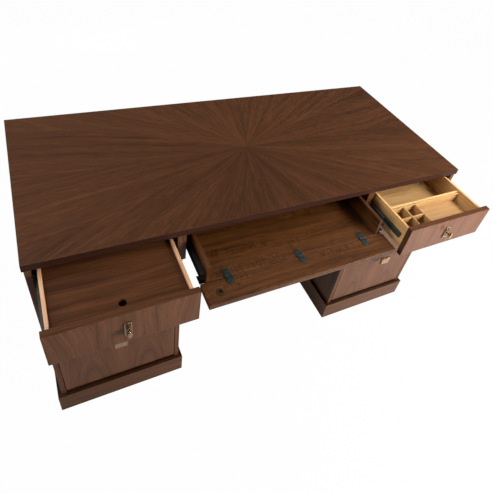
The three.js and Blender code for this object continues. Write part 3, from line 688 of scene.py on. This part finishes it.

# knob pulls: a plate with a sunk panel lined with a sheet of painted shade, a stem with a collar, and an oval
# knob with a crowned face
knobPull = {
    "plate": (19, 50, 3), "plateEase": 0.5, "rim": 2.6, "panelDepth": 1.0, "panelSkin": 0.4, "panelSunk": 0.2,
    "panelEase": 0.1, "stem": 3.2, "stemSteps": 28, "collar": 4.0, "collarLength": 1.5, "collarCone": 1.0,
    "neck": 2.0, "neckSunk": 0.5, "knob": (13, 26, 9), "crown": 0.42, "crownPower": 0.7, "crownRings": 12,
    "knobSteps": 48,
}
for side in ("left", "right"):
    low, high = corners(f"{side}_drawer_pull")
    x, z = (low.x + high.x) / 2, (low.z + high.z) / 2
    plateWide, plateHigh, plateThick = (size * mm for size in knobPull["plate"])
    knobWide, knobHigh, knobThick = (size * mm for size in knobPull["knob"])
    rim, panelDepth, collarLength = (knobPull[key] * mm for key in ("rim", "panelDepth", "collarLength"))
    facingFront = facing("front", (x, high.y, z))
    a, b = plateWide / 2, plateHigh / 2
    panel = rectangle(rim - a, rim - b, a - rim, b - rim)
    backPlate = plate(rectangle(-a, -b, a, b), plateThick, knobPull["plateEase"] * mm,
                      [(panel[::-1], panelDepth)], facingFront)
    # the thin dark sheet laid in the sunk panel is painted shade
    panelFoot = Matrix.Translation((0, 0, plateThick - panelDepth - knobPull["panelSunk"] * mm))
    paintedShadeSheet = plate(panel, knobPull["panelSkin"] * mm, knobPull["panelEase"] * mm,
                      place=facingFront @ panelFoot)
    reach = high.y - low.y
    knobFoot = reach - knobThick
    stemStart = plateThick + collarLength + knobPull["collarCone"] * mm
    stemRings = [("collar", plateThick - collarLength), ("collar", plateThick + collarLength),
                 ("stem", stemStart), ("stem", knobFoot - knobPull["neck"] * mm),
                 ("collar", knobFoot + knobPull["neckSunk"] * mm)]
    stem = ringStack([(knobPull[key] * mm, knobPull[key] * mm, out) for key, out in stemRings], facingFront,
                     knobPull["stemSteps"])
    knobRings = []
    for i in range(knobPull["crownRings"] + 1):
        turn = math.pi * i / knobPull["crownRings"]
        inward = (1 - math.sin(turn) ** knobPull["crownPower"]) * knobPull["crown"] * knobWide / 2
        knobRings.append((knobWide / 2 - inward, knobHigh / 2 - inward,
                          reach - knobThick / 2 - math.cos(turn) * knobThick / 2))
    knob = ringStack(knobRings, facingFront, knobPull["knobSteps"])
    newPiece(side + "DrawerPull", f"{side}_drawer", [platedPewter, pullPanelPaintedShade],
             [{"shape": backPlate}, {"shape": paintedShadeSheet, "skin": 1}, {"shape": stem}, {"shape": knob}],
             [f"{side}_drawer_pull"], smooth=True)

# file pulls: a thick rectangular plate that stands off on a post
filePull = {"plateThickness": 10, "post": (14, 10), "postSunk": 1, "ease": 0.9, "postEase": 0.6}
for side in ("left", "right"):
    low, high = corners(f"{side}_file_pull")
    x, z = (low.x + high.x) / 2, (low.z + high.z) / 2
    plateBack = low.y + filePull["plateThickness"] * mm
    postWide, postHigh = (size * mm / 2 for size in filePull["post"])
    front = easedBox(low, (high.x, plateBack, high.z), filePull["ease"])
    post = easedBox((x - postWide, plateBack - filePull["postSunk"] * mm, z - postHigh),
                    (x + postWide, high.y, z + postHigh), filePull["postEase"])
    newPiece(side + "FilePull", f"{side}_file", [platedPewter],
             [{"shape": front}, {"shape": post}], [f"{side}_file_pull"])
print("pulls made")

# runners: a rolled channel on the case, a smaller one on the drawer, and a ball cage that shows inside
runners = {
    "sheet": 1.5, "bend": 2.4, "lip": 5, "screwRadius": 3.5, "screwHeight": 0.8, "screwSunk": 0.2,
    "screwSetbacks": (40, 190, 340), "cageSheet": 1.0, "cageLift": 1.2, "cageGap": 0.8, "cageEase": 0.3,
    "ballRadius": 1.7, "ballStep": 16, "ballRings": 4, "ballSides": 12,
    "cages": {"drawer": (90, 250), "tray": (18, 300)}, "bracketLength": 30,
}


# makes the case's member, and returns the middle height and the parts of the drawer's member
def makeRunner(railNode, slideNode, inward, pieceName, steel, cageSpan):
    sheet, bend, lip = (runners[key] * mm for key in ("sheet", "bend", "lip"))
    low, high = corners(railNode)
    middle, half, depth = (low.z + high.z) / 2, (high.z - low.z) / 2, high.x - low.x
    web = low.x if inward > 0 else high.x
    mouth, lipEnd = web + inward * depth, half - lip
    path = [(mouth, middle - lipEnd), (mouth, middle - half), (web, middle - half), (web, middle + half),
            (mouth, middle + half), (mouth, middle + lipEnd)]
    parts = [{"shape": prismAlongY(bentSheet(path, sheet, bend), low.y, high.y)}]
    looking = "right" if inward > 0 else "left"
    for setback in runners["screwSetbacks"]:
        spot = (web + inward * (sheet - runners["screwSunk"] * mm), low.y + setback * mm, middle)
        head = screwHead(runners["screwRadius"] * mm, runners["screwHeight"] * mm, facing(looking, spot))
        parts.append({"shape": head, "skin": 1})
    newPiece(pieceName + "Rail", "desk", [steel, brightZinc], parts, [railNode], smooth=True)

    # the drawer's member opens to the rail's web
    low, high = corners(slideNode)
    half = high.z - middle
    back = high.x if inward > 0 else low.x
    tip = web + inward * 2 * sheet
    path = [(tip, middle - half), (back, middle - half), (back, middle + half), (tip, middle + half)]
    parts = [{"shape": prismAlongY(bentSheet(path, sheet, bend), low.y, high.y)}]
    cageBack = back - inward * (sheet + runners["cageLift"] * mm)
    cageFront = cageBack - inward * runners["cageSheet"] * mm
    cageHalf = half - sheet - runners["cageGap"] * mm
    near, far = (low.y + span * mm for span in cageSpan)
    cage = easedBox((min(cageBack, cageFront), near, middle - cageHalf),
                    (max(cageBack, cageFront), far, middle + cageHalf), runners["cageEase"])
    parts.append({"shape": cage, "skin": 1})

    # the balls stand out of the cage as half rounds
    ball, step = runners["ballRadius"] * mm, runners["ballStep"] * mm
    turns = [math.pi / 2 * k / runners["ballRings"] for k in range(runners["ballRings"])]
    rings = [(ball * math.cos(a), ball * math.cos(a), ball * math.sin(a)) for a in turns]
    away = "left" if inward > 0 else "right"
    for i in range(int((far - near) / step)):
        for z in (middle - cageHalf + ball, middle + cageHalf - ball):
            place = facing(away, (cageFront, near + (i + 0.5) * step, z))
            parts.append({"shape": ringStack(rings, place, runners["ballSides"]), "skin": 1})
    return middle, parts


for side in ("left", "right"):
    for wallName in ("inner", "outer"):
        inward = 1 if (side == "right") == (wallName == "inner") else -1
        slideNode = f"{side}_drawer_{wallName}_slide"
        pieceName = f"{side}Drawer{wallName.title()}"
        _, parts = makeRunner(f"{side}_drawer_{wallName}_rail", slideNode, inward, pieceName, zincSteelPaintedShade,
                              runners["cages"]["drawer"])
        newPiece(pieceName + "Slide", f"{side}_drawer", [zincSteelPaintedShade, brightZinc], parts,
                 [slideNode], smooth=True)

    # the tray's runner, with a bracket that turns out under it
    inward = 1 if side == "left" else -1
    slideNode = f"tray_{side}_slide"
    pieceName = f"tray{side.title()}"
    low, high = corners(slideNode)
    middle, parts = makeRunner(f"tray_{side}_rail", slideNode, inward, pieceName, blackSteel,
                               runners["cages"]["tray"])
    back, outer = (high.x, low.x) if inward > 0 else (low.x, high.x)
    section = bentSheet([(outer, low.z), (back, low.z), (back, middle)], runners["sheet"] * mm,
                        runners["bend"] * mm)
    parts.append({"shape": prismAlongY(section, low.y, low.y + runners["bracketLength"] * mm)})
    newPiece(pieceName + "Slide", "tray", [blackSteel, zincSteelPaintedShade], parts, [slideNode],
             smooth=True)
print("runners made")

# hinges: leaves with a round end, screws in a row, and knuckles round a pin
hinges = {
    "leaf": (22, 30, 1.5), "endSteps": 20, "ease": 0.35, "knuckle": 3, "centreKnuckle": 9, "gap": 0.4,
    "knuckleTip": 2.25, "knuckleRound": 0.5, "knuckleSteps": 24, "tongueReach": 0.6, "tongueGap": 0.1,
    "screwRadius": 3.2, "screwHeight": 0.9, "screwSunk": 0.3, "screwTurn": 0.9,
    "screwSpots": ((-5.5, 9.5), (5.5, 9.5), (0, 21)),
}
for number in (1, 2, 3):
    for kind, body in (("tray", "tray"), ("flap", "drop_front")):
        node = f"hinge_{number}_{kind}_leaf"
        low, high = corners(node)
        x = (low.x + high.x) / 2
        wide, long, thick = (size * mm for size in hinges["leaf"])
        knuckle, tip, rounded, gap, centre, tongueGap = (hinges[key] * mm for key in (
            "knuckle", "knuckleTip", "knuckleRound", "gap", "centreKnuckle", "tongueGap"))
        away = 1 if kind == "tray" else -1
        pivot = Vector((x, low.y + knuckle if away > 0 else high.y - knuckle, high.z - knuckle))
        root, a, steps = knuckle + gap, wide / 2, hinges["endSteps"]
        outline = [(-a, root), (a, root)] + [(a * math.cos(t), long - a + a * math.sin(t))
                                             for t in (math.pi * i / steps for i in range(steps + 1))]
        turn = Matrix.Rotation(0 if away > 0 else math.pi, 4, "Z")
        place = Matrix.Translation((pivot.x, pivot.y, low.z)) @ turn
        parts = [{"shape": plate(outline, thick, hinges["ease"] * mm, place=place)}]
        for spotX, spotY in hinges["screwSpots"]:
            spot = place @ Vector((spotX * mm, spotY * mm, thick - hinges["screwSunk"] * mm))
            twist = Matrix.Rotation(hinges["screwTurn"] * number + spotX + spotY, 4, "Z")
            head = screwHead(hinges["screwRadius"] * mm, hinges["screwHeight"] * mm,
                             Matrix.Translation(spot) @ twist)
            parts.append({"shape": head})
        spans = [(-centre / 2, centre / 2)] if away < 0 else [(-a, -centre / 2 - gap), (centre / 2 + gap, a)]
        for start, end in spans:
            rings = [(tip, start), (knuckle, start + rounded), (knuckle, end - rounded), (tip, end)]
            barrel = ringStack([(r, r, d) for r, d in rings], facing("right", pivot), hinges["knuckleSteps"])
            # the leaf's tongue that runs into the knuckle
            tongueEnd = pivot.y + away * (root + hinges["tongueReach"] * mm)
            tongue = easedBox((x + start + tongueGap, min(pivot.y, tongueEnd), low.z),
                              (x + end - tongueGap, max(pivot.y, tongueEnd), low.z + thick), 0)
            parts += [{"shape": barrel}, {"shape": tongue}]
        newPiece(f"hinge{number}{kind.title()}Leaf", body, [darkenedBrass], parts, [node],
                 smooth=True)
print("hinges made")

# the studio: a floor painted darker on the left and paler on the right as light falling from the right, which
# the lacquered fronts reflect, a sky that is brighter overhead, and soft lamps. The camera sees floor and sky
# white.
studio = {
    "floorLeft": "#757473", "floorRight": "#bfbebc", "floorSpan": (-1.0, 1.6), "floorHalf": 15,
    "floorGlow": 0.985, "reflectedGlow": 0.1, "skyHeights": (0.6, 0.85), "horizon": 0.11, "overhead": 0.35,
    "white": "#ffffff",
}
white = linearColour(studio["white"])
material, tree = newMaterial("studioFloor")
path = addNode(tree, "LightPath")
reflected = addNode(tree, "Math", {0: path.outputs["Is Glossy Ray"], 1: path.outputs["Is Transmission Ray"]},
                    operation="MAXIMUM")
reflected = addNode(tree, "Math", {0: reflected, 1: studio["reflectedGlow"]}, operation="MULTIPLY")
glow = addNode(tree, "Math", {0: path.outputs["Is Camera Ray"], 1: studio["floorGlow"], 2: reflected},
               operation="MULTIPLY_ADD")
floorPlace = addNode(tree, "TexCoord")
floorParts = addNode(tree, "SeparateXYZ", {0: floorPlace.outputs["Object"]})
leftEnd, rightEnd = studio["floorSpan"]
rightward = addNode(tree, "MapRange", {"Value": floorParts, "From Min": leftEnd, "From Max": rightEnd})
# painted light: the floor's colour runs from dark on the left to pale on the right
floorColour = addNode(tree, "Mix", {0: rightward, 6: linearColour(studio["floorLeft"]),
                                    7: linearColour(studio["floorRight"])}, data_type="RGBA")
matt = addNode(tree, "BsdfDiffuse", {"Color": floorColour})
bright = addNode(tree, "Emission", {"Color": white, "Strength": 1.0})
shown = addNode(tree, "MixShader", {0: glow, 1: matt, 2: bright})
addNode(tree, "OutputMaterial", {"Surface": shown})
floorShape = bmesh.new()
bmesh.ops.create_grid(floorShape, x_segments=1, y_segments=1, size=studio["floorHalf"])
floorMesh = bpy.data.meshes.new("studioFloor")
floorShape.to_mesh(floorMesh)
floorShape.free()
floorMesh.materials.append(material)
floor = bpy.data.objects.new("studioFloor", floorMesh)
bpy.context.scene.collection.objects.link(floor)

world = bpy.data.worlds.new("studioSky")
world.use_nodes = True
tree = world.node_tree
tree.nodes.clear()
sky = addNode(tree, "TexCoord")
height = addNode(tree, "SeparateXYZ", {0: sky.outputs["Generated"]})
lowSky, highSky = studio["skyHeights"]
strength = addNode(tree, "MapRange", {"Value": height.outputs[2], "From Min": lowSky, "From Max": highSky,
                                      "To Min": studio["horizon"], "To Max": studio["overhead"]})
dim = addNode(tree, "Background", {"Color": white, "Strength": strength})
bright = addNode(tree, "Background", {"Color": white, "Strength": 1.0})
path = addNode(tree, "LightPath")
shown = addNode(tree, "MixShader", {0: path.outputs["Is Camera Ray"], 1: dim, 2: bright})
addNode(tree, "OutputWorld", {"Surface": shown})
bpy.context.scene.world = world

# low lamps would whiten the top in the views across it, so reflections don't show them
lamps = {
    "frontLight": {"place": (1.2, -1.65, 1.25), "aim": (0, 0, 0.6), "size": 1.2, "energy": 89,
                   "reflected": False},
    "sideLight": {"place": (1.23, -0.77, 1.72), "aim": (0.3, -0.1, 0.5), "size": 0.5, "energy": 19,
                  "reflected": True},
    "leftLight": {"place": (-2.3, 0.82, 2.6), "aim": (0, 0, 0.5), "size": 1.25, "energy": 47,
                  "reflected": True},
    "lowLight": {"place": (-2.2, -0.32, 1.25), "aim": (0.4, -0.32, 0.65), "size": 0.5, "energy": 17,
                 "reflected": False},
    "backLight": {"place": (-0.5, 3.1, 1.0), "aim": (0, 0, 0.4), "size": 1.5, "energy": 45,
                  "reflected": False},
}
for name, look in lamps.items():
    lamp = bpy.data.lights.new(name, "AREA")
    lamp.size, lamp.energy = look["size"], look["energy"]
    light = bpy.data.objects.new(name, lamp)
    light.location = look["place"]
    light.rotation_euler = (Vector(look["aim"]) - Vector(look["place"])).to_track_quat("-Z", "Y").to_euler()
    light.visible_glossy = look["reflected"]
    bpy.context.scene.collection.objects.link(light)

# the photograph's camera, in pixels of its frame
photoCamera = {
    "frame": 493, "focal": 443.459, "centre": (269.484, 195.94), "sensor": 36,
    "place": (-0.65022, -1.0766, 1.69946),
    "right": (0.886206, -0.436236, 0.156005), "up": (0.181832, 0.637217, 0.748927),
    "back": (-0.426118, -0.635337, 0.644027),
}
lens = bpy.data.cameras.new("photoCamera")
lens.sensor_fit = "HORIZONTAL"
lens.sensor_width = photoCamera["sensor"]
lens.lens = photoCamera["focal"] / photoCamera["frame"] * lens.sensor_width
lens.shift_x = 0.5 - photoCamera["centre"][0] / photoCamera["frame"]
lens.shift_y = photoCamera["centre"][1] / photoCamera["frame"] - 0.5
camera = bpy.data.objects.new("photoCamera", lens)
turn = Matrix((photoCamera["right"], photoCamera["up"], photoCamera["back"])).transposed()
camera.matrix_world = Matrix.Translation(photoCamera["place"]) @ turn.to_4x4()
bpy.context.scene.collection.objects.link(camera)
bpy.context.scene.camera = camera
bpy.context.scene.view_settings.view_transform = "Standard"
print("studio made")
